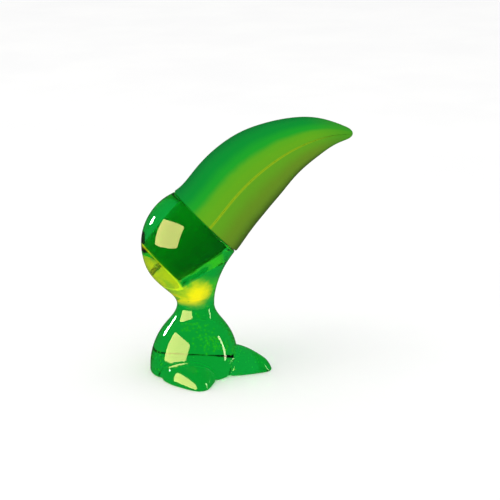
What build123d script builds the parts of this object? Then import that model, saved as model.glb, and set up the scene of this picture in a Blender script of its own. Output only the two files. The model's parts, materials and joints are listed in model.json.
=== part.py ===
"""Desk figure of a toucan: a solid clear casting whose oversized beak pulls out of a tapered socket.

Millimetres. The figure stands on the floor plane Z = 0 with its neck on the Z axis, and the beak
points along +X in the plane Y = 0. The feet are turned towards -Y, so the bird looks over its shoulder.
"""

import os
from math import cos, radians, sin, sqrt

from build123d import *

# Belly and neck: round sections from the floor up, which lean forward as they rise
belly_sections = [(0, 17.2), (5.0, 17.4), (10.0, 16.6), (14.5, 14.9), (19.0, 12.0), (23.2, 8.8)]
neck_height = 27.5
neck_radius = 7.4
belly_setback = 1.2                # how far the belly stands behind the neck at the floor

# Feet: each one lies along its own line, which passes beside the middle of the belly
feet = [                           # heading from +X, the toe's reach along it, the line's shift to its left
    (-24.0, 31.0, 4.8),
    (-82.6, 26.2, -4.6),
]
foot_sections = [                  # distance behind the toe's tip, half width, height
    (0.3, 1.6, 1.2),
    (1.4, 3.2, 2.9),
    (4.2, 5.3, 5.3),
    (8.4, 8.0, 7.3),
    (12.6, 10.0, 8.7),
    (18.0, 11.0, 9.4),
    (26.0, 10.0, 8.5),
]

# Head: circular sections that fan out from a line across the throat
fan_x, fan_z = 36.1, neck_height
throat_radius = fan_x - neck_radius
throat_swell = 1.0                 # the throat draws back this much before it meets the beak
ball_x, ball_z, ball_radius = 0.9, 52.3, 22.2
beak_pitch = 44.0                  # degrees above the floor at which the beak leaves the head
nape_angle, nape_reach = 6.0, 46.4
ball_angles = [13.0, 19.0, 25.0, 31.0, 37.0, 42.0]

# The beak's root and its socket in the head
root_mouth_radius = 13.9
root_end_radius = 10.6
root_depth = 22.5
root_corner = 1.2
root_wall = 2.0
root_floor = 6.0
socket_gap = 0.2                   # all round the root
end_gap = 0.3                      # between the root's end and the socket's floor
rim_gap = 0.4                      # between the beak's rim and the head
collar_length = 6.0

# Magnet in the root's end, and the steel disc and screw that it holds on to
magnet_radius, magnet_thickness = 4.0, 3.0
keeper_radius, keeper_thickness = 5.0, 1.0
recess_radius, recess_depth = 5.4, 1.2
screw_head_radius, screw_radius = 2.0, 1.0
screw_length, screw_point = 6.0, 1.2
slot_width, slot_depth = 0.6, 0.5

# Beak: sections along a curved spine in the plane Y = 0
beak_spine = [(13.6, 72.1), (25.9, 83.3), (40.3, 90.9), (53.4, 93.8), (63.5, 93.4)]
spine_end_slope = -6.0             # degrees
beak_sections = [                  # share of the spine, half height, half width
    (0.08, 16.2, 16.1),
    (0.22, 16.0, 15.6),
    (0.34, 15.5, 14.9),
    (0.45, 14.4, 13.8),
    (0.56, 12.4, 11.9),
    (0.67, 10.2, 9.8),
    (0.78, 7.8, 7.5),
    (0.88, 4.9, 4.8),
    (0.95, 2.9, 2.9),
    (0.985, 1.8, 1.8),
    (1.0, 0.9, 0.9),
]
rim_overhang = 0.3                 # how far the beak's rim stands out past the head's
beak_wall = 2.2
hollow_end = 0.88                  # share of the spine where the beak turns solid
rim_wall = 2.0
mouth_rise = 0.13                  # the mouth line's height at the head, as a share of the half height
mouth_drop = 0.09                  # how much lower, by the same measure, it ends at the tip

fan_angle = 90.0 - beak_pitch


def ball_back(angle):
    """Distance from the fan line to the back of the head ball, looking up at this angle."""
    to_ball = (fan_x - ball_x, ball_z - fan_z)
    along = to_ball[0] * cos(radians(angle)) + to_ball[1] * sin(radians(angle))
    return along + sqrt(ball_radius**2 - to_ball[0] ** 2 - to_ball[1] ** 2 + along**2)


def fan_section(angle, back):
    """Centre distance and radius of the head's section between the throat and the back."""
    front = throat_radius + throat_swell * (angle / fan_angle) ** 2
    return (front + back) / 2, (back - front) / 2


def fan_plane(angle, distance):
    """Plane of a head section, centred at this distance from the fan line."""
    up = radians(angle)
    centre = (fan_x - distance * cos(up), 0, fan_z + distance * sin(up))
    return Plane(centre, x_dir=(0, 1, 0), z_dir=(sin(up), 0, cos(up)))


def head_outline(angle, back):
    """The head's circular section at this angle."""
    distance, radius = fan_section(angle, back)
    with BuildSketch(fan_plane(angle, distance)) as circle:
        Circle(radius)
    return circle.sketch


# The socket's plane lies on the head's rim, its Z out along the beak. Turned pieces are drawn in
# the profile plane, as radius and height above the rim.
rim_distance, rim_radius = fan_section(fan_angle, ball_back(fan_angle))
bore_radius = rim_radius - rim_wall
socket_plane = fan_plane(fan_angle, rim_distance)
socket_axis = Axis(socket_plane.origin, socket_plane.z_dir)
profile_plane = Plane(socket_plane.origin, x_dir=socket_plane.x_dir, z_dir=-socket_plane.y_dir)
socket_floor = -root_depth - end_gap
keeper_top = socket_floor + keeper_thickness
os.makedirs("parts", exist_ok=True)


def finish(piece, name):
    """Labels a piece and writes it."""
    piece.part.label = name
    export_step(piece.part, f"parts/{name}.step")


def turned(profile):
    """Solid turned about the socket's axis from a closed profile."""
    with BuildPart() as solid:
        with BuildSketch(profile_plane):
            with BuildLine():
                Polyline(*profile, close=True)
            make_face()
        revolve(axis=socket_axis)
    return solid.part


def root_radius(height):
    """Radius of the root's taper at a height above the rim."""
    return root_mouth_radius + (root_mouth_radius - root_end_radius) * height / root_depth


# Screw, with its head sunk flush in the disc
screw_outline = [
    (0, keeper_top),
    (screw_head_radius, keeper_top),
    (screw_radius, keeper_top - (screw_head_radius - screw_radius)),
    (screw_radius, keeper_top - screw_length + screw_point),
    (0, keeper_top - screw_length),
]
screw_form = turned(screw_outline)

with BuildPart() as keeper_screw:
    add(screw_form)
    with BuildSketch(socket_plane.offset(keeper_top)):
        Rectangle(4 * screw_head_radius, slot_width)
    extrude(amount=-slot_depth, mode=Mode.SUBTRACT)
finish(keeper_screw, "keeper_screw")

with BuildPart() as keeper_disc:
    with BuildSketch(socket_plane.offset(socket_floor)):
        Circle(keeper_radius)
    extrude(amount=keeper_thickness)
    add(screw_form, mode=Mode.SUBTRACT)
finish(keeper_disc, "keeper_disc")

# Clear casting
belly_outlines = []
for height, radius in [*belly_sections, (neck_height, neck_radius)]:
    setback = belly_setback * (1 - height / neck_height) ** 2
    with BuildSketch(Plane((-setback, 0, height))) as outline:
        Circle(radius)
    belly_outlines.append(outline.sketch)

head_outlines = [head_outline(0, fan_x + neck_radius), head_outline(nape_angle, nape_reach)]
for angle in [*ball_angles, fan_angle]:
    head_outlines.append(head_outline(angle, ball_back(angle)))


def foot_outlines(heading, reach, shift):
    """Arched sections of one foot, from the toe back into the belly."""
    foot = Plane((-belly_setback, 0, 0), x_dir=Vector(1, 0, 0).rotate(Axis.Z, heading))
    outlines = []
    for back, half_width, height in foot_sections:
        centre = foot.from_local_coords((reach - back, shift, 0))
        with BuildSketch(Plane(centre, x_dir=foot.y_dir, z_dir=foot.x_dir)) as outline:
            with BuildLine():
                arch = EllipticalCenterArc((0, 0), half_width, height, arc_size=180)
                Line(arch @ 1, arch @ 0)
            make_face()
        outlines.append(outline.sketch)
    return outlines


taper = (root_mouth_radius - root_end_radius) / root_depth
side_gap = socket_gap * sqrt(1 + taper**2)
above_rim = 2.0
with BuildPart() as body_casting:
    loft(belly_outlines)
    loft(head_outlines)
    for heading, reach, shift in feet:
        loft(foot_outlines(heading, reach, shift))
    add(
        turned(
            [
                (0, above_rim),
                (root_radius(above_rim) + side_gap, above_rim),
                (root_radius(socket_floor) + side_gap, socket_floor),
                (0, socket_floor),
            ]
        ),
        mode=Mode.SUBTRACT,
    )
    add(screw_form, mode=Mode.SUBTRACT)
finish(body_casting, "body_casting")

# Root of the beak: collar, hollow taper, recess for the keeper and pocket for the magnet
collar_top = rim_gap + collar_length
recess_floor = -root_depth + recess_depth
magnet_top = recess_floor + magnet_thickness
with BuildPart() as root_plug:
    add(
        turned(
            [
                (0, collar_top),
                (bore_radius, collar_top),
                (bore_radius, rim_gap),
                (root_radius(rim_gap), rim_gap),
                (root_end_radius, -root_depth),
                (0, -root_depth),
            ]
        )
    )
    end_circle = root_plug.edges().filter_by(GeomType.CIRCLE).sort_by(socket_axis)[0]
    fillet(end_circle, root_corner)
    add(
        turned(
            [
                (0, collar_top),
                (bore_radius - root_wall, collar_top),
                (root_mouth_radius - root_wall, 0),
                (root_radius(root_floor - root_depth) - root_wall, root_floor - root_depth),
                (0, root_floor - root_depth),
            ]
        ),
        mode=Mode.SUBTRACT,
    )
    with BuildSketch(socket_plane.offset(-root_depth)):
        Circle(recess_radius)
    extrude(amount=recess_depth, mode=Mode.SUBTRACT)
    with BuildSketch(socket_plane.offset(recess_floor)):
        Circle(magnet_radius)
    extrude(amount=magnet_thickness, mode=Mode.SUBTRACT)
finish(root_plug, "root_plug")

with BuildPart() as magnet:
    with BuildSketch(socket_plane.offset(recess_floor)):
        Circle(magnet_radius)
    extrude(amount=magnet_thickness)
finish(magnet, "magnet")

# The beak's spine leaves the socket along its axis and curls over
with BuildLine(Plane.XZ) as spine_line:
    Spline(
        (socket_plane.origin.X, socket_plane.origin.Z),
        *beak_spine,
        tangents=[
            (cos(radians(beak_pitch)), sin(radians(beak_pitch))),
            (cos(radians(spine_end_slope)), sin(radians(spine_end_slope))),
        ],
    )
spine = spine_line.line
rim_plane = socket_plane.offset(rim_gap)
beak_rim_radius = rim_radius + rim_overhang
stations = [(rim_plane, 0, beak_rim_radius, beak_rim_radius)]
for share, half_height, half_width in beak_sections:
    station_plane = Plane(spine @ share, x_dir=(0, 1, 0), z_dir=spine % share)
    stations.append((station_plane, share, half_height, half_width))


def mouth_height(share, half_height):
    """Height of the mouth line above the spine."""
    return (mouth_rise - mouth_drop * share) * half_height


def beak_outline(plane, share, half_height, half_width):
    """Closed section of the beak: crest arc and keel arc, meeting at the mouth line."""
    middle = mouth_height(share, half_height)
    corner = half_width * sqrt(1 - (middle / half_height) ** 2)
    with BuildSketch(plane) as outline:
        with BuildLine():
            ThreePointArc((corner, middle), (0, half_height), (-corner, middle))
            ThreePointArc((-corner, middle), (0, -half_height), (corner, middle))
        make_face()
    return outline.sketch


def beak_solid(end, inset):
    """The beak's outlines joined from the rim to this share of the spine, drawn in by an inset."""
    outlines = []
    for plane, share, half_height, half_width in stations:
        if share <= end:
            outlines.append(beak_outline(plane, share, half_height - inset, half_width - inset))
    with BuildPart() as solid:
        loft(outlines)
    return solid.part


beak_form = beak_solid(1, 0)
beak_hollow = beak_solid(hollow_end, beak_wall)

# Everything above the mouth line, as a slab right across the beak
slab_top, slab_half = 140, 40
with BuildPart() as above_mouth:
    with BuildSketch(Plane.XZ):
        with BuildLine():
            mouth_points = []
            for plane, share, half_height, _ in stations:
                point = plane.from_local_coords((0, mouth_height(share, half_height), 0))
                mouth_points.append((point.X, point.Z))
            mouth = Spline(*mouth_points)
            before = mouth @ 0 - 20 * (mouth % 0)
            after = mouth @ 1 + 20 * (mouth % 1)
            Polyline(
                mouth @ 1,
                after,
                (after.X, slab_top),
                (before.X, slab_top),
                before,
                mouth @ 0,
            )
        make_face()
    extrude(amount=slab_half, both=True)

for name, side_kept in (("upper_mandible", Mode.INTERSECT), ("lower_mandible", Mode.SUBTRACT)):
    with BuildPart() as mandible:
        add(beak_form)
        add(beak_hollow, mode=Mode.SUBTRACT)
        with BuildSketch(rim_plane):
            Circle(bore_radius)
        extrude(amount=collar_length, mode=Mode.SUBTRACT)
        add(above_mouth.part, mode=side_kept)
    finish(mandible, name)
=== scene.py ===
import json
import math

import bpy
import numpy as np
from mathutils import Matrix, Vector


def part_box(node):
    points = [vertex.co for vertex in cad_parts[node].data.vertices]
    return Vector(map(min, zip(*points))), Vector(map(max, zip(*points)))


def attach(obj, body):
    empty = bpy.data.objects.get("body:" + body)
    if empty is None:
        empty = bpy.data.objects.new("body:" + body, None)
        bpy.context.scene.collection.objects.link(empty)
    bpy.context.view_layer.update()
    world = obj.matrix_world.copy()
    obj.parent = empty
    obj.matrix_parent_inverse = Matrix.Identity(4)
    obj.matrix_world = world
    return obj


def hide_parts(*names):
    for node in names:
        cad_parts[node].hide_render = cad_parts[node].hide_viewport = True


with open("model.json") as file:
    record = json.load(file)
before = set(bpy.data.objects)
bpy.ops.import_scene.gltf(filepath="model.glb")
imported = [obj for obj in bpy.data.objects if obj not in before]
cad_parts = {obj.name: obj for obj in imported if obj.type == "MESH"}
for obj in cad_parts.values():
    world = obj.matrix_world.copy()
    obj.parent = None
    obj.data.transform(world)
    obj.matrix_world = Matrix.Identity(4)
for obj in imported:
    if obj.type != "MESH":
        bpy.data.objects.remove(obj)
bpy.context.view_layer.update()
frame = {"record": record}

import openvdb
from mathutils import Vector

mm = 0.001                             # shapes are drawn in millimetres, objects are in metres
chance = np.random.default_rng(2718)
pullAxis = np.array(frame["record"]["behaviour"]["joints"][0]["axis"])
print("frame loaded")


# Smooth curve through values at given places, with the slopes at its ends if wanted
def curveThrough(places, values, startSlope=None, endSlope=None):
    x = np.array(places, float)
    v = np.array(values, float)
    h = np.diff(x)
    n = len(x)
    matrix = np.zeros((n, n))
    right = np.zeros(n)
    for k in range(1, n - 1):
        matrix[k, k - 1:k + 2] = h[k - 1], 2 * (h[k - 1] + h[k]), h[k]
        right[k] = 6 * ((v[k + 1] - v[k]) / h[k] - (v[k] - v[k - 1]) / h[k - 1])
    matrix[0, 0] = matrix[-1, -1] = 1
    if startSlope is not None:
        matrix[0, :2] = 2 * h[0], h[0]
        right[0] = 6 * ((v[1] - v[0]) / h[0] - startSlope)
    if endSlope is not None:
        matrix[-1, -2:] = h[-1], 2 * h[-1]
        right[-1] = 6 * (endSlope - (v[-1] - v[-2]) / h[-1])
    bend = np.linalg.solve(matrix, right)

    def at(place):
        place = np.clip(place, x[0], x[-1])
        k = np.clip(np.searchsorted(x, place) - 1, 0, n - 2)
        a = (x[k + 1] - place) / h[k]
        b = 1 - a
        return a * v[k] + b * v[k + 1] + ((a**3 - a) * bend[k] + (b**3 - b) * bend[k + 1]) * h[k] ** 2 / 6

    return at


# Joins of two distance fields, rounded over a width
def blendMin(a, b, width):
    return np.minimum(a, b) - np.maximum(width - np.abs(a - b), 0) ** 2 / (4 * width)


def blendMax(a, b, width):
    return -blendMin(-a, -b, width)


def slopeOf(field, points):
    step = 0.02
    slopes = []
    for k in range(3):
        shift = np.zeros(3)
        shift[k] = step
        slopes.append((field(*(points + shift).T) - field(*(points - shift).T)) / (2 * step))
    return np.stack(slopes, 1)


# Mesh of a field's zero surface: points settled exactly on it, faces, and its own normals
def meshFromField(field, low, high, voxel):
    axes = [np.arange(low[k], high[k] + voxel, voxel) for k in range(3)]
    values = field(*np.meshgrid(*axes, indexing="ij"))
    outside = 5.0
    grid = openvdb.FloatGrid(outside)
    grid.copyFromArray(values.astype(np.float32))
    points, faces = grid.convertToQuads()
    points = points.astype(float) * voxel + np.array(low)
    settlePasses, flattest, longestMove = 4, 0.05, 0.4 * voxel
    for _ in range(settlePasses):
        slope = slopeOf(field, points)
        move = slope * (field(*points.T) / np.maximum((slope**2).sum(1), flattest))[:, None]
        reach = np.linalg.norm(move, axis=1)[:, None]
        points -= move * np.minimum(1, longestMove / np.maximum(reach, 1e-9))
    normals = slopeOf(field, points)
    normals /= np.linalg.norm(normals, axis=1)[:, None]
    return points, np.array(faces, int), normals


# Faces turned to look outwards
def facingOut(points, faces):
    corners = np.array([face[:3] for face in faces])
    a, b, c = (points[corners[:, k]] for k in range(3))
    if (np.cross(a, b) * c).sum() < 0:
        return [face[::-1] for face in faces]
    return list(faces)


# Object from points in millimetres, with its own normals if given, and with sharp edges by angle if not
def makePiece(name, points, faces, normals=None, sharpAngle=35):
    mesh = bpy.data.meshes.new(name)
    mesh.from_pydata((np.asarray(points) * mm).tolist(), [], [[int(i) for i in face] for face in faces])
    mesh.validate()
    mesh.shade_smooth()
    if normals is None:
        mesh.set_sharp_from_angle(angle=math.radians(sharpAngle))
    else:
        mesh.normals_split_custom_set_from_vertices(np.asarray(normals).tolist())
    piece = bpy.data.objects.new(name, mesh)
    bpy.context.scene.collection.objects.link(piece)
    return piece


def finishPiece(piece, material, body, node):
    piece.data.materials.append(material)
    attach(piece, body)
    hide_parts(node)


# A value or a vector kept on each point of a mesh, for its material to read
def pointValues(piece, name, values, kind="FLOAT"):
    layer = piece.data.attributes.new(name, kind, "POINT")
    field = "value" if kind == "FLOAT" else "vector"
    layer.data.foreach_set(field, np.asarray(values, np.float32).ravel())


def link(tree, start, end):
    tree.links.new(start, end)


def addNode(tree, kind, place=(0, 0), **settings):
    node = tree.nodes.new(kind)
    node.location = place
    for key, value in settings.items():
        setattr(node, key, value)
    return node


# Sets an input to a number or a colour, or links it to another node's output
def setInput(tree, entry, value):
    if isinstance(value, (int, float)):
        entry.default_value = value
    elif isinstance(value, tuple):
        entry.default_value = (*value, 1)
    else:
        link(tree, value, entry)


def mathNode(tree, operation, first, second=None, third=None, clamp=False):
    node = addNode(tree, "ShaderNodeMath", operation=operation, use_clamp=clamp)
    for entry, value in zip(node.inputs, (first, second, third)):
        if value is not None:
            setInput(tree, entry, value)
    return node.outputs[0]


def vectorNode(tree, operation, first, second=None):
    node = addNode(tree, "ShaderNodeVectorMath", operation=operation)
    link(tree, first, node.inputs[0])
    if second is not None:
        node.inputs[1].default_value = second
    return node.outputs["Value" if operation in ("LENGTH", "DOT_PRODUCT") else "Vector"]


# Smooth step from low to high as the value goes from start to end
def smoothRange(tree, value, start, end, low=0.0, high=1.0):
    node = addNode(tree, "ShaderNodeMapRange", interpolation_type="SMOOTHSTEP")
    link(tree, value, node.inputs["Value"])
    for label, number in (("From Min", start), ("From Max", end), ("To Min", low), ("To Max", high)):
        node.inputs[label].default_value = number
    return node.outputs[0]


# A mask of 0 to 1 spread over a pair of values
def spread(tree, mask, span):
    return mathNode(tree, "MULTIPLY_ADD", mask, span[1] - span[0], span[0])


def rampNode(tree, factor, stops):
    node = addNode(tree, "ShaderNodeValToRGB")
    node.color_ramp.interpolation = "EASE"
    elements = node.color_ramp.elements
    while len(elements) < len(stops):
        elements.new(0.5)
    for element, (place, colour) in zip(elements, stops):
        element.position = place
        element.color = (*colour, 1)
    link(tree, factor, node.inputs[0])
    return node.outputs[0]


def mixColour(tree, factor, first, second):
    node = addNode(tree, "ShaderNodeMix", data_type="RGBA")
    for k, value in ((0, factor), (6, first), (7, second)):      # the colour version's factor, A and B
        setInput(tree, node.inputs[k], value)
    return node.outputs[2]


def makeGroup(name, inputs, outputs):
    group = bpy.data.node_groups.new(name, "ShaderNodeTree")
    for label, kind, value in inputs:
        group.interface.new_socket(label, in_out="INPUT", socket_type=kind).default_value = value
    for label, kind in outputs:
        group.interface.new_socket(label, in_out="OUTPUT", socket_type=kind)
    return group, addNode(group, "NodeGroupInput", (-900, 0)), addNode(group, "NodeGroupOutput", (700, 0))


def useGroup(tree, group, **values):
    node = addNode(tree, "ShaderNodeGroup", (-500, 0))
    node.node_tree = group
    for key, value in values.items():
        node.inputs[key].default_value = value
    return node


def noiseOf(tree, vector, scale, detail=4.0, roughness=0.55):
    node = addNode(tree, "ShaderNodeTexNoise")
    for key, value in (("Vector", vector), ("Scale", scale), ("Detail", detail), ("Roughness", roughness)):
        setInput(tree, node.inputs[key], value)
    return node.outputs["Fac"]


# Fine moulded grain: a height for bumps and a mottle for roughness and colour
grainGroup, start, end = makeGroup(
    "mouldedGrain",
    [("Scale", "NodeSocketFloat", 2200.0)],
    [("Height", "NodeSocketFloat"), ("Mottle", "NodeSocketFloat")],
)
where = addNode(grainGroup, "ShaderNodeTexCoord", (-900, 200)).outputs["Object"]
fine = noiseOf(grainGroup, where, start.outputs["Scale"], 3.0, 0.6)
coarseScale = mathNode(grainGroup, "MULTIPLY", start.outputs["Scale"], 0.07)
coarse = noiseOf(grainGroup, where, coarseScale, 3.0, 0.5)
link(grainGroup, mathNode(grainGroup, "MULTIPLY_ADD", coarse, 0.6, fine), end.inputs["Height"])
link(grainGroup, coarse, end.inputs["Mottle"])

# Handling marks: faint smears and short scratches, 0 where clean
marksGroup, start, end = makeGroup(
    "handlingMarks",
    [("Scale", "NodeSocketFloat", 90.0), ("Amount", "NodeSocketFloat", 0.5)],
    [("Mask", "NodeSocketFloat"), ("Scratch", "NodeSocketFloat")],
)
where = addNode(marksGroup, "ShaderNodeTexCoord", (-900, 200)).outputs["Object"]
smear = noiseOf(marksGroup, where, start.outputs["Scale"], 5.0, 0.62)
smear = mathNode(marksGroup, "MULTIPLY_ADD", smear, 4.0, -2.0, clamp=True)
stretched = addNode(marksGroup, "ShaderNodeMapping")
stretched.inputs["Rotation"].default_value = (0.5, 0.9, 0.3)
stretched.inputs["Scale"].default_value = (9.0, 0.5, 9.0)
link(marksGroup, where, stretched.inputs["Vector"])
lineScale = mathNode(marksGroup, "MULTIPLY", start.outputs["Scale"], 1.7)
lines = noiseOf(marksGroup, stretched.outputs["Vector"], lineScale, 2.0)
lines = mathNode(marksGroup, "MULTIPLY_ADD", lines, 14.0, -9.6, clamp=True)
link(marksGroup, mathNode(marksGroup, "MULTIPLY", smear, start.outputs["Amount"]), end.inputs["Mask"])
link(marksGroup, mathNode(marksGroup, "MULTIPLY", lines, start.outputs["Amount"]), end.inputs["Scratch"])

# Lathe lines: fine rings round a piece's middle, for the turned metal pieces
latheGroup, start, end = makeGroup(
    "latheLines",
    [("Density", "NodeSocketFloat", 60.0)],
    [("Lines", "NodeSocketFloat")],
)
where = addNode(latheGroup, "ShaderNodeTexCoord", (-900, 200)).outputs["Generated"]
fromMiddle = vectorNode(latheGroup, "SUBTRACT", where, (0.5, 0.5, 0.5))
ring = addNode(latheGroup, "ShaderNodeCombineXYZ")
link(latheGroup, vectorNode(latheGroup, "LENGTH", fromMiddle), ring.inputs[0])
link(latheGroup, noiseOf(latheGroup, ring.outputs[0], start.outputs["Density"], 2.0), end.inputs["Lines"])


def newMaterial(name):
    material = bpy.data.materials.new(name)
    material.use_nodes = True
    tree = material.node_tree
    return material, tree, tree.nodes["Principled BSDF"]


def bumpInto(tree, shader, height, strength, distance):
    bump = addNode(tree, "ShaderNodeBump")
    bump.inputs["Strength"].default_value = strength
    bump.inputs["Distance"].default_value = distance
    link(tree, height, bump.inputs["Height"])
    link(tree, bump.outputs[0], shader.inputs["Normal"])


print("shared helpers and node groups ready")

# Head: circular sections that fan out from a line across the throat, up to the cut rim
head = {
    "fanX": 36.1,
    "fanZ": 27.5,
    "fanAngle": 46.0,              # degrees from the neck to the rim
    "throatRadius": 28.7,
    "throatSwell": 1.0,            # how far the throat draws back before the rim
    "neckRadius": 7.4,
    "ball": (0.9, 52.3, 22.2),     # x, z and radius
    "nape": (6.0, 46.4),           # angle, and reach from the fan line
    "ballAngles": [13.0, 19.0, 25.0, 31.0, 37.0, 42.0, 46.0],
}
belly = {
    "heights": [0, 5.0, 10.0, 14.5, 19.0, 23.2, 27.5],
    "radii": [17.2, 17.4, 16.6, 14.9, 12.0, 8.8, 7.4],
    "setback": 1.2,
}
feet = {
    "lines": [(-24.0, 31.0, 4.8), (-82.6, 26.2, -4.6)],    # heading, reach of the toe, shift to the left
    "back": [0.3, 1.4, 4.2, 8.4, 12.6, 18.0, 26.0],        # distance behind the toe's tip
    "halfWidth": [1.6, 3.2, 5.3, 8.0, 10.0, 11.0, 10.0],
    "height": [1.2, 2.9, 5.3, 7.3, 8.7, 9.4, 8.5],
}
socket = {
    "mouthRadius": 13.9,
    "endRadius": 10.6,
    "depth": 22.5,
    "sideGap": 0.2,
    "endGap": 0.3,
    "floorCorner": 0.8,
}
casting = {
    "voxel": 0.5,
    "margin": 1.5,                 # round the box that is meshed
    "valley": 0.5,                 # width of the creases where the feet meet the belly
    "groove": 0.55,                # radius of the crisp line cut along each crease
    "soleEdge": 0.6,
    "rimEdge": 0.5,
    "socketSkin": 0.2,             # surface this near the socket's form counts as its wall
    "cornerLine": (0.2, 0.6),      # the painted bright line, a painted highlight where the socket's wall meets its floor: full, and gone
}


def ballBack(angle):
    x, z, radius = head["ball"]
    across = (head["fanX"] - x, z - head["fanZ"])
    along = across[0] * math.cos(math.radians(angle)) + across[1] * math.sin(math.radians(angle))
    return along + math.sqrt(radius**2 - across[0] ** 2 - across[1] ** 2 + along**2)


backCurve = curveThrough(
    [0.0, head["nape"][0], *head["ballAngles"]],
    [head["fanX"] + head["neckRadius"], head["nape"][1], *[ballBack(a) for a in head["ballAngles"]]],
    startSlope=0.0,
)
rimFront = head["throatRadius"] + head["throatSwell"]
rimBack = ballBack(head["fanAngle"])
rimRadius = (rimBack - rimFront) / 2
rimDistance = (rimBack + rimFront) / 2
rimAngle = math.radians(head["fanAngle"])
rimCentre = np.array([
    head["fanX"] - rimDistance * math.cos(rimAngle),
    0.0,
    head["fanZ"] + rimDistance * math.sin(rimAngle),
])
rimUp = np.array([-pullAxis[2], 0.0, pullAxis[0]])
taper = (socket["mouthRadius"] - socket["endRadius"]) / socket["depth"]
socketFloor = -socket["depth"] - socket["endGap"]
bellyCurve = curveThrough(belly["heights"], belly["radii"], endSlope=0.0)
footSpread = curveThrough(feet["back"], np.array(feet["halfWidth"]) ** 2)
footRatio = curveThrough(feet["back"], np.array(feet["halfWidth"]) / np.array(feet["height"]))


def headField(x, y, z):
    angle = np.degrees(np.arctan2(z - head["fanZ"], head["fanX"] - x))
    angle = np.clip(angle, 0, head["fanAngle"])
    reach = np.hypot(z - head["fanZ"], head["fanX"] - x)
    front = head["throatRadius"] + head["throatSwell"] * (angle / head["fanAngle"]) ** 2
    back = backCurve(angle)
    return np.hypot(reach - (front + back) / 2, y) - (back - front) / 2


def footField(x, y, z, heading, reach, shift):
    turn = math.radians(heading)
    fromMiddle = x + belly["setback"]
    forward = fromMiddle * math.cos(turn) + y * math.sin(turn)
    side = -fromMiddle * math.sin(turn) + y * math.cos(turn) - shift
    back = reach - forward
    tipSpread = footSpread(feet["back"][0])
    tipSlope = (footSpread(feet["back"][0] + 0.5) - tipSpread) / 0.5
    pastTip = tipSpread + tipSlope * (back - feet["back"][0])
    section = np.where(back < feet["back"][0], pastTip, footSpread(back))
    size = side**2 + (footRatio(back) * z) ** 2 - section
    return np.maximum(size / (2 * np.sqrt(np.maximum(section, 1.0))), back - feet["back"][-1])


# The socket's own field, and the height above the rim
def socketField(x, y, z):
    above = (x - rimCentre[0]) * pullAxis[0] + (z - rimCentre[2]) * pullAxis[2]
    up = (x - rimCentre[0]) * rimUp[0] + (z - rimCentre[2]) * rimUp[2]
    wall = np.hypot(up, y) - (socket["mouthRadius"] + taper * above) - socket["sideGap"]
    return blendMax(wall, socketFloor - above, socket["floorCorner"]), above


def castingField(x, y, z):
    lean = belly["setback"] * (1 - np.clip(z, 0, head["fanZ"]) / head["fanZ"]) ** 2
    trunk = np.hypot(x + lean, y) - bellyCurve(z)
    solid = np.where(z > head["fanZ"], headField(x, y, z), trunk)
    grooves = []
    for heading, reach, shift in feet["lines"]:
        foot = footField(x, y, z, heading, reach, shift)
        grooves.append(casting["groove"] - np.hypot(solid, foot))
        solid = blendMin(solid, foot, casting["valley"])
    for groove in grooves:
        solid = blendMax(solid, groove, casting["valley"])
    hole, above = socketField(x, y, z)
    solid = blendMax(solid, above, casting["rimEdge"])
    solid = blendMax(solid, -z, casting["soleEdge"])
    return blendMax(solid, -hole, casting["rimEdge"])


low, high = (np.array(corner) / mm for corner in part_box("body_casting"))
margin = casting["margin"]
low, high = low - margin, high + margin
castPoints, castFaces, castNormals = meshFromField(castingField, low, high, casting["voxel"])
allFaces = facingOut(castPoints, castFaces)
print("casting meshed:", len(castFaces), "faces")

# Air bubbles, as small closed voids in the same mesh: middle, half size of the cloud, how many, radii
bubbles = {
    "clouds": [
        ((-1.5, -6.0, 19.0), (4.0, 2.5, 1.8), 26, (0.3, 0.55)),
        ((2.5, -9.0, 14.5), (4.2, 2.5, 2.2), 30, (0.3, 0.6)),
        ((6.0, -8.0, 12.0), (3.5, 3.0, 2.4), 26, (0.3, 0.6)),
        ((13.0, -6.0, 8.0), (2.2, 4.0, 6.5), 34, (0.25, 0.5)),
        ((-13.0, -6.0, 7.0), (3.0, 4.0, 4.0), 24, (0.25, 0.5)),
        ((0.0, 0.0, 10.0), (14.0, 14.0, 8.0), 30, (0.15, 0.35)),
        ((0.0, 0.0, 26.0), (5.0, 5.0, 4.0), 12, (0.15, 0.35)),
        ((22.0, -6.0, 4.0), (8.0, 6.0, 3.0), 26, (0.12, 0.25)),
    ],
    "tries": 40,                   # for each bubble, before a cloud is left short of it
    "spread": 0.55,                # of the places about the middle, as a share of the cloud's half size
    "furthest": 1.2,
    "clearance": 0.9,              # least depth under the surface
    "apart": 1.5,                  # least distance between two, in their radii
    "stretch": (0.8, 1.35),
    "rings": 6,
    "segments": 10,
}


def ballMesh(rings, segments):
    points = [(0, 0, 1)]
    for i in range(1, rings):
        for j in range(segments):
            tilt, turn = math.pi * i / rings, 2 * math.pi * j / segments
            points.append((math.sin(tilt) * math.cos(turn), math.sin(tilt) * math.sin(turn), math.cos(tilt)))
    points.append((0, 0, -1))
    faces = []
    last = len(points) - 1
    for j in range(segments):
        after = (j + 1) % segments
        faces.append((0, 1 + j, 1 + after))
        faces.append((last, last - segments + after, last - segments + j))
        for i in range(rings - 2):
            a, b = 1 + i * segments + j, 1 + i * segments + after
            faces.append((a, a + segments, b + segments, b))
    return np.array(points), faces


# True if a bubble lies deep enough and clear of those already placed
def fits(centre, radius, placed):
    if castingField(*centre[:, None])[0] > -bubbles["clearance"] - radius:
        return False
    gaps = np.linalg.norm(placed[:, :3] - centre, axis=1)
    return not (gaps < bubbles["apart"] * (placed[:, 3] + radius)).any()


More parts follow.
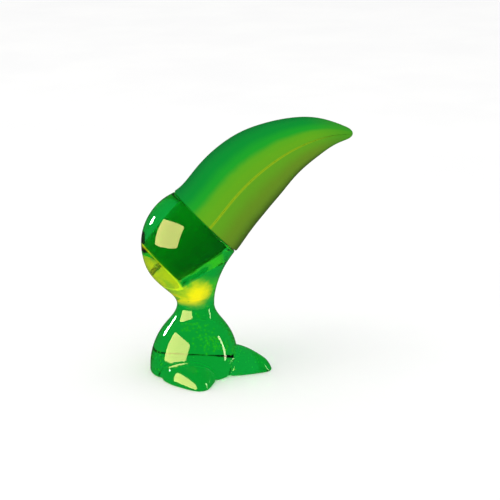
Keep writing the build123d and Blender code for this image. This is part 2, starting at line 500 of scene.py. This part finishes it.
ballPoints, ballFaces = ballMesh(bubbles["rings"], bubbles["segments"])
allPoints, allNormals = [castPoints], [castNormals]
placed = np.zeros((0, 4))
offset = len(castPoints)
for middle, half, count, radii in bubbles["clouds"]:
    made = 0
    for _ in range(count * bubbles["tries"]):
        if made == count:
            break
        stray = np.clip(chance.normal(0, bubbles["spread"], 3), -bubbles["furthest"], bubbles["furthest"])
        centre = np.array(middle) + np.array(half) * stray
        radius = chance.uniform(*radii)
        if not fits(centre, radius, placed):
            continue
        placed = np.vstack([placed, [*centre, radius]])
        scale = np.array([radius, radius, radius * chance.uniform(*bubbles["stretch"])])
        allPoints.append(centre + ballPoints * scale)
        inward = -ballPoints / scale
        allNormals.append(inward / np.linalg.norm(inward, axis=1)[:, None])
        allFaces += [[offset + i for i in reversed(face)] for face in ballFaces]
        offset += len(ballPoints)
        made += 1
clearCasting = makePiece("clearCasting", np.vstack(allPoints), allFaces, np.vstack(allNormals))
hole, above = socketField(*castPoints.T)
onWall = np.abs(hole) < casting["socketSkin"]
up = (castPoints[:, 0] - rimCentre[0]) * rimUp[0] + (castPoints[:, 2] - rimCentre[2]) * rimUp[2]
fromAxis = np.hypot(up, castPoints[:, 1])
floorRadius = socket["mouthRadius"] + taper * socketFloor
farAway = 9.0                              # millimetres from the socket's lower corner, for all the rest
inwards = np.maximum(floorRadius - casting["cornerLine"][1] - fromAxis, 0)
fromCorner = np.where(onWall, above - socketFloor, farAway) + inwards
beyond = offset - len(castPoints)          # the bubbles' points come after the casting's own
pointValues(clearCasting, "bubble", np.arange(offset) >= len(castPoints))
pointValues(clearCasting, "socketWall", np.pad(onWall.astype(float), (0, beyond)))
pointValues(clearCasting, "fromCorner", np.pad(fromCorner, (0, beyond), constant_values=farAway))
print("bubbles placed:", len(placed))

# Clear casting plastic: green, with painted yellow light in the neck and behind the socket where the clear
# plastic gathers light, with a slow ripple and faint smears. The lights are painted light given off as
# emission: a painted glow in the neck, a painted bright line at the socket's corner and painted glints in the
# bubbles; places are in metres
clearLook = {
    "green": (0.005, 0.375, 0.050),
    "paintedLightYellow": (0.99, 0.74, 0.012),
    "bubble": (0.90, 0.98, 0.35),
    "bubbleLight": (0.07, 0.09, 0.0),
    "socketWall": (0.90, 0.98, 0.60),      # paler, so that the root shows through
    "cornerLight": (0.38, 0.42, 0.0),
    "glowLight": (0.30, 0.14, 0.0),
    "glowMiddle": (-0.0012, 0.0, 0.0345),
    "glowReach": (0.0046, 0.05, 0.0058),
    "glowEdge": (0.9, 2.1),                # in reaches: where the painted yellow light starts to fade, and where it ends
    "wander": (220.0, 1.2),                # noise scale, and how far it moves that edge
    "behindSocket": (-0.0240, -0.0215),    # along the socket's axis: all painted yellow light, and none
    "behindFloor": (0.0275, 0.0310),       # height under which there is no painted yellow light behind the socket
    "mottle": (130.0, (0.35, 0.6), (0.3, 0.9)),    # noise scale, its range, and the share of painted yellow light it gives
    "absorbColour": (0.15, 0.92, 0.55),
    "absorbDensity": 30.0,
    "ior": 1.36,
    "roughness": (0.012, 0.05),
    "ripple": (110.0, 0.05, 0.001),        # noise scale, strength and depth
}


# Masks of the painted yellow light in the neck, and of all the painted yellow light
def paintedLightMasks(tree, where):
    scale, shift = clearLook["wander"]
    wander = noiseOf(tree, where, scale, 3.0)
    fromGlow = vectorNode(tree, "SUBTRACT", where, clearLook["glowMiddle"])
    away = vectorNode(tree, "LENGTH", vectorNode(tree, "DIVIDE", fromGlow, clearLook["glowReach"]))
    edge = mathNode(tree, "MULTIPLY_ADD", wander, shift, away)
    neck = smoothRange(tree, edge, *clearLook["glowEdge"], 1.0, 0.0)
    fromRim = vectorNode(tree, "SUBTRACT", where, tuple(rimCentre * mm))
    depth = vectorNode(tree, "DOT_PRODUCT", fromRim, tuple(pullAxis))
    behind = smoothRange(tree, depth, *clearLook["behindSocket"], 1.0, 0.0)
    split = addNode(tree, "ShaderNodeSeparateXYZ")
    link(tree, where, split.inputs[0])
    raised = smoothRange(tree, split.outputs["Z"], *clearLook["behindFloor"])
    scale, span, share = clearLook["mottle"]
    mottle = smoothRange(tree, noiseOf(tree, where, scale, 2.0), *span)
    behind = mathNode(tree, "MULTIPLY", behind, raised)
    behind = mathNode(tree, "MULTIPLY", behind, spread(tree, mottle, share))
    return neck, mathNode(tree, "MAXIMUM", neck, behind)


def pointMask(tree, name):
    return addNode(tree, "ShaderNodeAttribute", attribute_name=name).outputs["Fac"]


clearMaterial, tree, shader = newMaterial("clearGreenPlastic")
where = addNode(tree, "ShaderNodeTexCoord").outputs["Object"]
paintedNeckLight, allPaintedLight = paintedLightMasks(tree, where)
bubble = pointMask(tree, "bubble")
# Painted light: yellow mixed into the green base colour where the clear plastic gathers light
tintAndPaintedLight = mixColour(tree, allPaintedLight, clearLook["green"], clearLook["paintedLightYellow"])
tintAndPaintedLight = mixColour(tree, pointMask(tree, "socketWall"), tintAndPaintedLight, clearLook["socketWall"])
link(tree, mixColour(tree, bubble, tintAndPaintedLight, clearLook["bubble"]), shader.inputs["Base Color"])
# Painted highlight: a bright line given off along the socket's lower corner
corner = smoothRange(tree, pointMask(tree, "fromCorner"), *casting["cornerLine"], 1.0, 0.0)
# Painted light given off as emission: a glow in the neck, then the bright corner line
light = mixColour(tree, paintedNeckLight, (0.0, 0.0, 0.0), clearLook["glowLight"])
light = mixColour(tree, corner, light, clearLook["cornerLight"])
# Painted glints: the bubbles' surfaces give off a faint yellow light
link(tree, mixColour(tree, bubble, light, clearLook["bubbleLight"]), shader.inputs["Emission Color"])
shader.inputs["Emission Strength"].default_value = 1.0
marks = useGroup(tree, marksGroup, Scale=70.0, Amount=0.6)
link(tree, spread(tree, marks.outputs["Mask"], clearLook["roughness"]), shader.inputs["Roughness"])
shader.inputs["Transmission Weight"].default_value = 1.0
shader.inputs["IOR"].default_value = clearLook["ior"]
rippleScale, rippleStrength, rippleDepth = clearLook["ripple"]
bumpInto(tree, shader, noiseOf(tree, where, rippleScale, 1.5, 0.4), rippleStrength, rippleDepth)
absorb = addNode(tree, "ShaderNodeVolumeAbsorption")
absorb.inputs["Color"].default_value = (*clearLook["absorbColour"], 1)
absorb.inputs["Density"].default_value = clearLook["absorbDensity"]
link(tree, absorb.outputs[0], tree.nodes["Material Output"].inputs["Volume"])
finishPiece(clearCasting, clearMaterial, "stand", "body_casting")
print("clear casting ready")


def turnedBy(vector, angle):
    x, y = vector
    return np.array([x * math.cos(angle) - y * math.sin(angle), x * math.sin(angle) + y * math.cos(angle)])


# Outline with rounded corners: points and normals, outside on the right of travel.
# corners holds (radius from the axis, height, corner radius)
def roundedOutline(corners, closed, steps=6):
    points, normals = [], []
    n = len(corners)
    place = [np.array(c[:2], float) for c in corners]
    for k in range(n):
        before, after = place[(k - 1) % n], place[(k + 1) % n]
        if not closed and k in (0, n - 1):
            run = after - place[k] if k == 0 else place[k] - before
            run /= np.linalg.norm(run)
            points.append(place[k])
            normals.append((run[1], -run[0]))
            continue
        arriving = (place[k] - before) / np.linalg.norm(place[k] - before)
        leaving = (after - place[k]) / np.linalg.norm(after - place[k])
        bend = math.atan2(arriving[0] * leaving[1] - arriving[1] * leaving[0], arriving @ leaving)
        radius = corners[k][2]
        pull = radius * abs(math.tan(bend / 2))
        centre = place[k] - arriving * pull + np.sign(bend) * radius * np.array([-arriving[1], arriving[0]])
        for j in range(steps + 1):
            normal = turnedBy((arriving[1], -arriving[0]), bend * j / steps)
            points.append(centre + np.sign(bend) * radius * normal)
            normals.append(normal)
    return np.array(points), np.array(normals)


# Piece turned about the socket's axis, from an outline of radius and height above the rim
def turnedPiece(name, corners, closed=False, around=144):
    outline, outlineNormals = roundedOutline(corners, closed)
    points, normals, rings = [], [], []
    for (radius, height), (outward, along) in zip(outline, outlineNormals):
        count = around if radius > 1e-6 else 1        # one point where the outline meets the axis
        rings.append((len(points), count))
        for j in range(count):
            turn = 2 * math.pi * j / around
            ray = math.cos(turn) * rimUp + math.sin(turn) * np.array([0.0, 1.0, 0.0])
            points.append(rimCentre + height * pullAxis + radius * ray)
            normals.append(along * pullAxis + outward * ray if count > 1 else along * pullAxis)
    faces = []
    spans = list(zip(rings, rings[1:] + rings[:1] if closed else rings[1:]))
    for (first, firstCount), (second, secondCount) in spans:
        for j in range(around):
            after = (j + 1) % around
            if firstCount == 1:
                faces.append((first, second + j, second + after))
            elif secondCount == 1:
                faces.append((first + j, second, first + after))
            else:
                faces.append((first + j, second + j, second + after, first + after))
    points = np.array(points)
    return makePiece(name, points, facingOut(points, faces), normals)


# Root of the beak: collar, hollow taper, recess for the keeper and pocket for the magnet
root = {
    "rimGap": 0.4,                 # from the head's rim to the beak's
    "collarTop": 6.4,
    "boreRadius": rimRadius - 2.0,
    "wall": 2.0,
    "corner": 1.2,
    "recess": (5.4, 1.2),          # radius and depth
    "magnet": (4.0, 3.0),          # radius and thickness of its pocket
    "magnetPlay": (0.03, 0.02),    # round the magnet, and at its ends
    "hollowFloor": -16.5,
}
rootEnd = -socket["depth"]
recessFloor = rootEnd + root["recess"][1]
pocketTop = recessFloor + root["magnet"][1]
hollowRadius = socket["mouthRadius"] + taper * root["hollowFloor"] - root["wall"]
rootPlug = turnedPiece("rootPlug", [
    (0, pocketTop, 0),
    (root["magnet"][0], pocketTop, 0.1),
    (root["magnet"][0], recessFloor, 0.1),
    (root["recess"][0], recessFloor, 0.15),
    (root["recess"][0], rootEnd, 0.25),
    (socket["endRadius"], rootEnd, root["corner"]),
    (socket["mouthRadius"] + taper * root["rimGap"], root["rimGap"], 0.15),
    (root["boreRadius"], root["rimGap"], 0.2),
    (root["boreRadius"], root["collarTop"], 0.4),
    (root["boreRadius"] - root["wall"], root["collarTop"], 0.4),
    (socket["mouthRadius"] - root["wall"], 0, 2.0),
    (hollowRadius, root["hollowFloor"], 1.0),
    (0, root["hollowFloor"], 0),
])
sidePlay, endPlay = root["magnetPlay"]
magnetRadius = root["magnet"][0] - sidePlay
magnetDisc = turnedPiece("magnetDisc", [
    (0, recessFloor + endPlay, 0),
    (magnetRadius, recessFloor + endPlay, 0.2),
    (magnetRadius, pocketTop - endPlay, 0.2),
    (0, pocketTop - endPlay, 0),
])

# Keeper disc on the socket's floor
keeper = {
    "radius": 5.0,
    "thickness": 1.0,
    "edge": 0.12,
    "lift": 0.02,                  # of its underside off the socket's floor
    "seam": 0.03,                  # between the disc and its screw
}
# Screw that holds it: a countersunk head, a slot and a helical thread that ends in a point
screw = {
    "headRadius": 2.0,
    "headDrop": 0.02,              # of its top under the disc's
    "shankRadius": 1.0,
    "tipRadius": 0.08,
    "length": 6.0,
    "point": 1.2,
    "pitch": 0.62,
    "threadDepth": 0.3,
    "threadSharpness": 2.6,
    "threadStart": (0.2, 0.3),     # under the disc, and the height over which the thread comes in
    "slot": (0.6, 0.5),            # width and depth
    "edge": (0.08, 0.06),          # rounding of the ends, and of the slot
    "voxel": 0.09,
    "margin": 0.3,
}
keeperTop = socketFloor + keeper["thickness"]
keeperDisc = turnedPiece("keeperDisc", [
    (screw["shankRadius"] + keeper["seam"], socketFloor + keeper["lift"], 0.01),
    (keeper["radius"], socketFloor + keeper["lift"], keeper["edge"]),
    (keeper["radius"], keeperTop, keeper["edge"]),
    (screw["headRadius"] + keeper["seam"], keeperTop, 0.01),
], closed=True)


def screwField(up, side, height):
    reach = np.hypot(up, side)
    tip = keeperTop - screw["length"]
    limit = np.interp(
        height,
        [tip, tip + screw["point"], socketFloor, keeperTop],
        [screw["tipRadius"], screw["shankRadius"], screw["shankRadius"], screw["headRadius"]],
    )
    phase = height / screw["pitch"] - np.arctan2(side, up) / (2 * math.pi)
    groove = np.clip(np.abs(phase - np.round(phase)) * screw["threadSharpness"], 0, 1)
    plain, rampUp = screw["threadStart"]
    threaded = np.clip((socketFloor - plain - height) / rampUp, 0, 1)
    depth = screw["threadDepth"] * groove * threaded * np.minimum(1, limit)
    body = (reach - limit + depth) * 0.75          # the steep thread would overstate the distance
    endEdge, slotEdge = screw["edge"]
    body = blendMax(body, height - keeperTop + screw["headDrop"], endEdge)
    body = blendMax(body, tip - height, endEdge)
    slotBox = np.maximum(np.abs(side) - screw["slot"][0] / 2, keeperTop - screw["slot"][1] - height)
    return blendMax(body, -slotBox, slotEdge)


screwReach = screw["headRadius"] + screw["margin"]
screwPoints, screwFaces, screwNormals = meshFromField(
    screwField,
    np.array([-screwReach, -screwReach, keeperTop - screw["length"] - screw["margin"]]),
    np.array([screwReach, screwReach, keeperTop + screw["margin"]]),
    screw["voxel"],
)
toWorld = np.array([rimUp, [0.0, 1.0, 0.0], pullAxis])
screwPoints = rimCentre + screwPoints @ toWorld
screwFaces = facingOut(screwPoints, screwFaces)
keeperScrew = makePiece("keeperScrew", screwPoints, screwFaces, screwNormals @ toWorld)
print("root, magnet, keeper disc and screw ready:", len(screwFaces), "faces in the screw")

# Metal of the keeper, screw and magnet: lathe lines and a little wear
metalLook = {
    "steel": {"colour": (0.56, 0.56, 0.54), "roughness": 0.28, "lines": 0.5},
    "nickel": {"colour": (0.70, 0.68, 0.64), "roughness": 0.14, "lines": 0.25},
    "lineDulling": 0.18,
    "wearDulling": 0.12,
    "wearBrightening": 1.18,
    "lineDepth": 0.00005,
}


def metalMaterial(name, finish):
    material, tree, shader = newMaterial(name)
    lathe = useGroup(tree, latheGroup)
    marks = useGroup(tree, marksGroup, Scale=400.0, Amount=0.7)
    worn = tuple(min(1.0, c * metalLook["wearBrightening"]) for c in finish["colour"])
    link(tree, mixColour(tree, marks.outputs["Mask"], finish["colour"], worn), shader.inputs["Base Color"])
    lines = lathe.outputs["Lines"]
    rough = mathNode(tree, "MULTIPLY_ADD", lines, metalLook["lineDulling"], finish["roughness"])
    rough = mathNode(tree, "MULTIPLY_ADD", marks.outputs["Mask"], metalLook["wearDulling"], rough)
    link(tree, rough, shader.inputs["Roughness"])
    shader.inputs["Metallic"].default_value = 1.0
    bumpInto(tree, shader, lines, finish["lines"], metalLook["lineDepth"])
    return material


steelMaterial = metalMaterial("plainSteel", metalLook["steel"])
nickelMaterial = metalMaterial("nickelPlate", metalLook["nickel"])
finishPiece(keeperDisc, steelMaterial, "stand", "keeper_disc")
finishPiece(keeperScrew, steelMaterial, "stand", "keeper_screw")
finishPiece(magnetDisc, nickelMaterial, "beak", "magnet")

# Dark satin plastic of the root
rootLook = {
    "deep": (0.0008, 0.245, 0.050),
    "pale": (0.0016, 0.300, 0.070),
    "roughness": (0.40, 0.56),
    "shine": 0.2,
    "grain": (0.25, 0.00006),      # strength and depth
}
rootMaterial, tree, shader = newMaterial("rootPlastic")
grain = useGroup(tree, grainGroup, Scale=1800.0)
marks = useGroup(tree, marksGroup, Scale=160.0, Amount=0.8)
rootColour = mixColour(tree, grain.outputs["Mottle"], rootLook["deep"], rootLook["pale"])
link(tree, rootColour, shader.inputs["Base Color"])
link(tree, spread(tree, marks.outputs["Mask"], rootLook["roughness"]), shader.inputs["Roughness"])
shader.inputs["Specular IOR Level"].default_value = rootLook["shine"]
bumpInto(tree, shader, grain.outputs["Height"], *rootLook["grain"])
finishPiece(rootPlug, rootMaterial, "beak", "root_plug")

# Beak: two hollow shells lofted along a spine that leaves the socket and curls over
beakRim = rimRadius + 0.3          # a little proud of the head's rim
beak = {
    "spine": [(13.6, 72.1), (25.9, 83.3), (40.3, 90.9), (53.4, 93.8), (63.5, 93.4)],
    "endSlope": -6.0,
    "shares": [0, 0.08, 0.22, 0.34, 0.45, 0.56, 0.67, 0.78, 0.88, 0.95, 0.985, 1.0],
    "halfHeights": [beakRim, 16.2, 16.0, 15.5, 14.4, 12.4, 10.2, 7.8, 4.9, 2.9, 1.7, 0.0],
    "halfWidths": [beakRim, 16.1, 15.6, 14.9, 13.8, 11.9, 9.8, 7.5, 4.8, 2.9, 1.7, 0.0],
    "wall": 2.2,
    "thinnest": 0.3,               # the hollow never narrows past this share of the section
    "mouthRise": 0.13,             # height of the mouth line at the rim, as a share of the half height
    "mouthDrop": 0.09,             # how much of that it loses by the tip
    "ridge": 0.28,                 # height of the soft ridge along the mouth line
    "ridgeWidth": 1.0,
    "ridgeEnd": (1.02, 0.25),      # where along the beak it would end, and over how much it fades
    "parting": 0.03,               # half the gap between the shells
    "lip": (0.14, 0.22),           # rounding of the edge along the parting: depth and width
    "rimEdge": (0.18, 0.3),        # rounding of the rim's edge: depth and width
    "rimStations": (0.1, 0.25, 0.5),
    "boreEnd": (0.5, 2.0),         # past the collar: start and length of the change from round bore to hollow
    "boreSeam": 0.03,
    "fineTip": 4.0,                # details shrink where the half height is under this
    "stations": 120,
    "around": 96,
}
spinePoints = np.array([(rimCentre[0], rimCentre[2]), *beak["spine"]])
chords = np.concatenate([[0], np.cumsum(np.linalg.norm(np.diff(spinePoints, axis=0), axis=1))])
endTurn = math.radians(beak["endSlope"])
spineX = curveThrough(chords, spinePoints[:, 0], pullAxis[0], math.cos(endTurn))
spineZ = curveThrough(chords, spinePoints[:, 1], pullAxis[2], math.sin(endTurn))
fineChord = np.linspace(0, chords[-1], 4000)
spineLine = np.stack([spineX(fineChord), spineZ(fineChord)], 1)
lengths = np.concatenate([[0], np.cumsum(np.linalg.norm(np.diff(spineLine, axis=0), axis=1))])
spineLength = lengths[-1]
heightSquared = curveThrough(beak["shares"], np.array(beak["halfHeights"]) ** 2)
widthSquared = curveThrough(beak["shares"], np.array(beak["halfWidths"]) ** 2)


# Point on the spine and the way up across it
def spineFrame(share):
    chord = np.interp(share * spineLength, lengths, fineChord)
    step = 0.01
    ahead = np.array([curve(chord + step) - curve(chord - step) for curve in (spineX, spineZ)])
    ahead /= np.linalg.norm(ahead)
    return np.array([spineX(chord), 0, spineZ(chord)]), np.array([-ahead[1], 0, ahead[0]])


# Arc of a shell's section from one mouth corner to the other: points, outward rays, distance to the nearer
# corner, and a measure that runs from 0 at the corners to 1 at the crest or keel
def shellArc(halfHeight, halfWidth, mouth, upper, count):
    corner = halfWidth * math.sqrt(max(1 - (mouth / halfHeight) ** 2, 0.01))
    rise = halfHeight - mouth if upper else halfHeight + mouth
    radius = (corner**2 + rise**2) / (2 * rise)
    middle = halfHeight - radius if upper else radius - halfHeight
    start = math.atan2(mouth - middle, corner)
    end = math.pi - start if upper else -math.pi - start
    part = (1 - np.cos(np.pi * np.arange(count + 1) / count)) / 2
    turn = start + (end - start) * part
    toMouth = np.minimum(part, 1 - part) * abs(end - start) * radius
    rays = np.stack([np.cos(turn), np.sin(turn)], 1)
    return rays * radius + np.array([0, middle]), rays, toMouth, 1 - np.abs(2 * part - 1)


# One section of a shell: points out along the outer arc and back along the inner one, with the place of each
def shellSection(share, upper):
    count = beak["around"]
    origin, up = spineFrame(share)
    halfHeight = math.sqrt(max(heightSquared(share), 1e-4))
    halfWidth = math.sqrt(max(widthSquared(share), 1e-4))
    mouth = (beak["mouthRise"] - beak["mouthDrop"] * share) * halfHeight
    fromRim = share * spineLength - root["rimGap"]
    outer, rays, toMouth, around = shellArc(halfHeight, halfWidth, mouth, upper, count)
    size = min(1, halfHeight / beak["fineTip"])
    ridgeEnd, fadeOver = beak["ridgeEnd"]
    fade = size * np.clip((ridgeEnd - share) / fadeOver, 0, 1)
    ridge = beak["ridge"] * fade * np.exp(-((toMouth / beak["ridgeWidth"]) ** 2))
    lipDepth, lipWidth = beak["lip"]
    lip = lipDepth * size * np.maximum(1 - toMouth / lipWidth, 0) ** 2
    rimDepth, rimWidth = beak["rimEdge"]
    rimRound = rimDepth * max(0, 1 - fromRim / rimWidth) ** 2
    outer = outer + rays * (ridge - lip - rimRound)[:, None]
    easeFrom, easeOver = beak["boreEnd"]
    ease = np.clip((fromRim - root["collarTop"] + root["rimGap"] - easeFrom) / easeOver, 0, 1)
    bore = root["boreRadius"] + beak["boreSeam"]
    innerHeight, innerWidth = (
        (1 - ease) * bore + ease * max(half - beak["wall"], beak["thinnest"] * half)
        for half in (halfHeight, halfWidth)
    )
    inner = shellArc(innerHeight, innerWidth, mouth, upper, count)[0]
    loop = np.concatenate([outer, inner[::-1]])
    loop[:, 1] += beak["parting"] * size * (1 if upper else -1)
    signed = around if upper else -around
    places = [np.full(len(loop), share), np.concatenate([signed, 0 * signed]), np.zeros(len(loop))]
    return origin + loop[:, :1] * np.array([0, 1.0, 0]) + loop[:, 1:] * up, np.stack(places, 1)


# Stations crowd towards the tip, and a few more follow the rounded edge of the rim
def shellMesh(name, upper):
    first = root["rimGap"] / spineLength
    even = np.arange(beak["stations"]) / beak["stations"]
    shares = first + (1 - (1 - even) ** 2) * (1 - first)
    nearRim = first + np.array(beak["rimStations"]) / spineLength
    sections = [shellSection(share, upper) for share in np.sort(np.concatenate([shares, nearRim]))]
    rows, ring = len(sections), len(sections[0][0])
    tip = rows * ring
    points = np.vstack([*[section[0] for section in sections], spineFrame(1.0)[0]])
    places = np.vstack([*[section[1] for section in sections], [1, 0, 0]])
    faces = []
    for i in range(rows):
        for j in range(ring):
            a, b = i * ring + j, i * ring + (j + 1) % ring
            faces.append((a, b, b + ring, a + ring) if i < rows - 1 else (a, b, tip))
    for j in range(beak["around"]):         # the rim's face, between the outer and the inner arc
        faces.append((j, ring - 1 - j, ring - 2 - j, j + 1))
    shell = makePiece(name, points, facingOut(points, faces))
    pointValues(shell, "beakPlace", places, "FLOAT_VECTOR")
    return shell


upperShell = shellMesh("upperShell", True)
lowerShell = shellMesh("lowerShell", False)

# Satin plastic of the beak. Its colour stops run from keel to crest: 0 keel, 0.5 mouth line, 1 crest; they
# hold painted shade darkening towards the keel, a painted lighter sheen on the flanks and the beak's own
# green at the crest. The tip and mouth line hold a colour, its strength, and where along or across the beak
# it comes or goes; the mouth line's colour is a painted highlight along its ridge
beakLook = {
    "colourAndPaintedLightStops": [
        (0.00, (0.028, 0.080, 0.008)),
        (0.14, (0.060, 0.125, 0.010)),
        (0.32, (0.130, 0.270, 0.012)),
        (0.48, (0.115, 0.360, 0.012)),
        (0.56, (0.120, 0.390, 0.010)),
        (0.62, (0.100, 0.390, 0.011)),
        (0.70, (0.010, 0.345, 0.019)),
        (0.82, (0.0004, 0.265, 0.027)),
        (1.00, (0.0004, 0.215, 0.030)),
    ],
    "stopDrift": 0.03,
    "tip": {"colour": (0.05, 0.31, 0.012), "strength": 0.8, "along": (0.72, 1.0)},
    "paintedMouthHighlight": {
        "colour": (0.42, 0.56, 0.004),
        "strength": 0.6,
        "across": (0.0, 0.03),
        "along": (0.55, 0.98),
    },
    "roughness": (0.36, 0.50),
    "scratchDulling": 0.1,
    "shine": 0.06,
    "grainScale": 2600.0,
    "grain": (0.16, 0.00006),      # strength and depth
}


def beakMaterial(name):
    material, tree, shader = newMaterial(name)
    place = addNode(tree, "ShaderNodeAttribute", attribute_name="beakPlace")
    split = addNode(tree, "ShaderNodeSeparateXYZ")
    link(tree, place.outputs["Vector"], split.inputs[0])
    along, around = split.outputs["X"], split.outputs["Y"]
    grain = useGroup(tree, grainGroup, Scale=beakLook["grainScale"])
    marks = useGroup(tree, marksGroup, Scale=120.0, Amount=0.7)
    drift = spread(tree, grain.outputs["Mottle"], (-beakLook["stopDrift"] / 2, beakLook["stopDrift"] / 2))
    across = mathNode(tree, "ADD", spread(tree, around, (0.5, 1.0)), drift)
    # Base colour with painted light: painted shade towards the keel, a painted lighter sheen on the flanks
    base = rampNode(tree, across, beakLook["colourAndPaintedLightStops"])
    tip, line = beakLook["tip"], beakLook["paintedMouthHighlight"]
    base = mixColour(tree, smoothRange(tree, along, *tip["along"], 0.0, tip["strength"]), base, tip["colour"])
    # Painted highlight: a bright lime line along the mouth ridge
    fromLine = mathNode(tree, "ABSOLUTE", around)
    onPaintedHighlight = smoothRange(tree, fromLine, *line["across"], line["strength"], 0.0)
    onPaintedHighlight = mathNode(tree, "MULTIPLY", onPaintedHighlight, smoothRange(tree, along, *line["along"], 1.0, 0.0))
    base = mixColour(tree, onPaintedHighlight, base, line["colour"])
    link(tree, base, shader.inputs["Base Color"])
    rough = spread(tree, marks.outputs["Mask"], beakLook["roughness"])
    rough = mathNode(tree, "MULTIPLY_ADD", marks.outputs["Scratch"], beakLook["scratchDulling"], rough)
    link(tree, rough, shader.inputs["Roughness"])
    shader.inputs["Specular IOR Level"].default_value = beakLook["shine"]
    bumpInto(tree, shader, grain.outputs["Height"], *beakLook["grain"])
    return material


finishPiece(upperShell, beakMaterial("beakCrestPlastic"), "beak", "upper_mandible")
finishPiece(lowerShell, beakMaterial("beakKeelPlastic"), "beak", "lower_mandible")
print("beak ready")

# Camera
camera = {"azimuth": -12.0, "elevation": 16.2, "distance": 0.7, "aim": (0.0221, 0.0, 0.0481), "lens": 127.0}
turn, tilt = math.radians(camera["azimuth"]), math.radians(camera["elevation"])
toCamera = Vector((math.sin(turn) * math.cos(tilt), -math.cos(turn) * math.cos(tilt), math.sin(tilt)))
cameraRight = Vector((math.cos(turn), math.sin(turn), 0))
cameraUp = toCamera.cross(cameraRight)
cameraData = bpy.data.cameras.new("camera")
cameraData.lens = camera["lens"]
cameraData.clip_start, cameraData.clip_end = 0.01, 50
cameraObject = bpy.data.objects.new("camera", cameraData)
bpy.context.scene.collection.objects.link(cameraObject)
cameraObject.location = Vector(camera["aim"]) + toCamera * camera["distance"]
cameraObject.rotation_euler = (-toCamera).to_track_quat("-Z", "Y").to_euler()
bpy.context.scene.camera = cameraObject

# Pale floor
floorLook = {
    "halfSide": 4.0,
    "drop": 0.00005,               # keeps it just clear of the sole
    "patches": [(0.3, (0.95, 0.95, 0.95)), (0.7, (0.975, 0.975, 0.97))],
    "patchScale": 12.0,
    "grain": (900.0, 0.05, 0.0002),    # noise scale, strength and depth
    "roughness": 0.9,
    "shine": 0.1,
}
reach = floorLook["halfSide"]
floorMesh = bpy.data.meshes.new("floor")
floorCorners = [(-reach, -reach, 0), (reach, -reach, 0), (reach, reach, 0), (-reach, reach, 0)]
floorMesh.from_pydata(floorCorners, [], [(0, 1, 2, 3)])
floor = bpy.data.objects.new("floor", floorMesh)
bpy.context.scene.collection.objects.link(floor)
floor.location.z = -floorLook["drop"]
floorMaterial, tree, shader = newMaterial("paleFloor")
where = addNode(tree, "ShaderNodeTexCoord").outputs["Object"]
patch = noiseOf(tree, where, floorLook["patchScale"], 5.0)
link(tree, rampNode(tree, patch, floorLook["patches"]), shader.inputs["Base Color"])
shader.inputs["Roughness"].default_value = floorLook["roughness"]
shader.inputs["Specular IOR Level"].default_value = floorLook["shine"]
grainScale, grainStrength, grainDepth = floorLook["grain"]
bumpInto(tree, shader, noiseOf(tree, where, grainScale, 3.0), grainStrength, grainDepth)
floorMesh.materials.append(floorMaterial)
floor.visible_glossy = False
floor.visible_transmission = False      # clear pieces look through to the even studio white

# Soft studio light. A lamp's way is right, up and towards the camera from the middle, and its size is width
# and height. Those that only reflect light the polished casting and nothing else
studio = {
    "middle": (0.005, 0, 0.05),
    "worldStrength": 1.0,
    "worldGloss": 0.05,            # how bright the world is in reflections
    "lamps": {
        "softbox": {"way": (-0.74, 0.15, 0.62), "distance": 0.8, "size": (1.00, 0.66), "radiance": 24.0,
                    "colour": (1.0, 0.80, 0.30), "onlyReflects": True, "round": False},
        "roundLamp": {"way": (-0.80, 0.38, -0.45), "distance": 0.6, "size": (0.085, 0.10), "radiance": 120.0,
                      "colour": (1.0, 1.0, 1.0), "onlyReflects": True, "round": True},
        "strip": {"way": (0.97, 0.12, 0.05), "distance": 0.7, "size": (0.08, 0.50), "radiance": 22.0,
                  "colour": (1.0, 0.95, 0.6), "onlyReflects": True, "round": False},
        "key": {"way": (-0.35, 0.80, 0.50), "distance": 1.0, "size": (0.70, 0.70), "radiance": 1.0,
                "colour": (1.0, 1.0, 1.0), "onlyReflects": False, "round": False},
    },
}
polished = bpy.data.collections.new("polished")
polished.objects.link(clearCasting)


def addLamp(name, look):
    data = bpy.data.lights.new(name, "AREA")
    data.shape = "ELLIPSE" if look["round"] else "RECTANGLE"
    width, height = look["size"]
    data.size, data.size_y = width, height
    data.color = look["colour"]
    area = width * height * (math.pi / 4 if look["round"] else 1)
    data.energy = look["radiance"] * math.pi * area
    lamp = bpy.data.objects.new(name, data)
    bpy.context.scene.collection.objects.link(lamp)
    right, up, near = look["way"]
    way = (cameraRight * right + cameraUp * up + toCamera * near).normalized()
    lamp.location = Vector(studio["middle"]) + way * look["distance"]
    lamp.rotation_euler = (-way).to_track_quat("-Z", "Y").to_euler()
    lamp.visible_camera = False
    if look["onlyReflects"]:
        lamp.visible_diffuse = False
        lamp.visible_transmission = False
        lamp.visible_volume_scatter = False
        lamp.light_linking.receiver_collection = polished
    else:
        lamp.visible_glossy = False


for name, look in studio["lamps"].items():
    addLamp(name, look)

# Even white world, dimmed in reflections but not through clear plastic, whose rays count as both
world = bpy.data.worlds.new("studio")
bpy.context.scene.world = world
world.use_nodes = True
tree = world.node_tree
background = tree.nodes["Background"]
rays = addNode(tree, "ShaderNodeLightPath")
mirror, through = rays.outputs["Is Glossy Ray"], rays.outputs["Is Transmission Ray"]
mirrored = mathNode(tree, "SUBTRACT", mirror, through, clamp=True)
dimming = studio["worldGloss"] - studio["worldStrength"]
gloss = mathNode(tree, "MULTIPLY_ADD", mirrored, dimming, studio["worldStrength"])
background.inputs["Color"].default_value = (1, 1, 1, 1)
link(tree, gloss, background.inputs["Strength"])
bpy.context.scene.view_settings.view_transform = "Standard"
bpy.context.scene.view_settings.look = "None"
print("stage ready")
